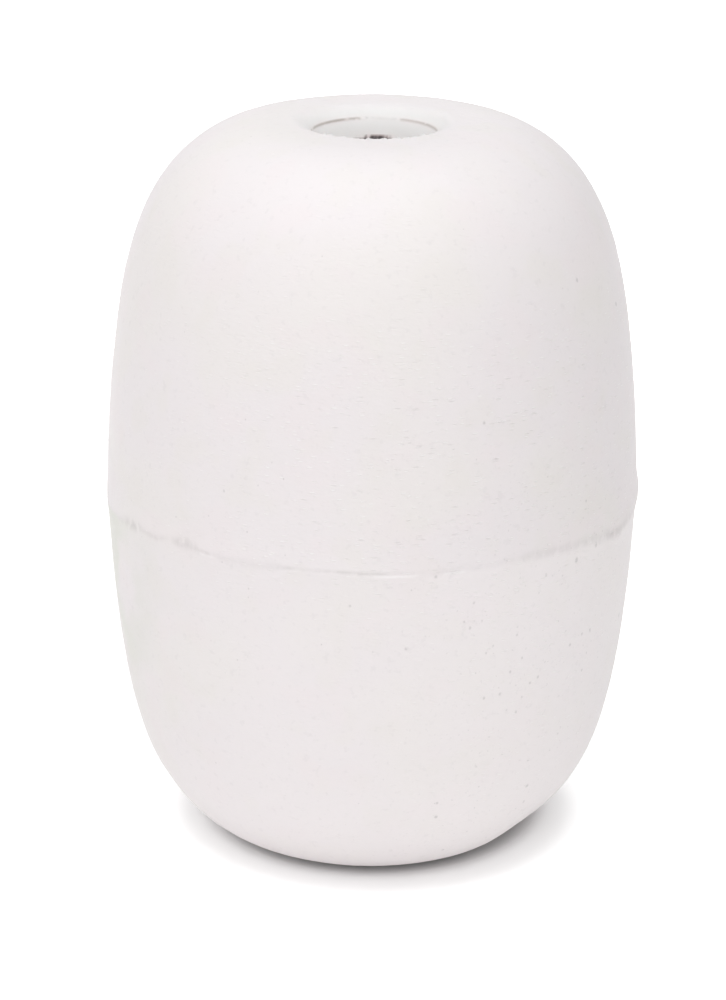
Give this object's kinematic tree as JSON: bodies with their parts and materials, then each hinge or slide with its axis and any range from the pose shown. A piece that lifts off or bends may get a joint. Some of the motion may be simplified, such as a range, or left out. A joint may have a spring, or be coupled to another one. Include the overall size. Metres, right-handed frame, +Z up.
{
  "type": "net float",
  "caption": "One-piece moulded foam net float: an oblong barrel with rounded shoulders, flat ends, a parting line round its middle and a straight rope bore on its long axis.",
  "frame": {"origin": "middle of the lower flat end, on the bore's axis, level with the surface the float stands on", "axes": "+Z up along the rope bore; the float is round about Z, so +X and +Y are any two directions across it"},
  "size_m": [0.1086, 0.1086, 0.149],
  "materials": {
    "foam": "matt closed-cell foam with a fine pebbled moulding skin, small pits and a little grime in the parting line"
  },
  "bodies": {
    "root": {"float_body": "foam"}
  },
  "joints": []
}
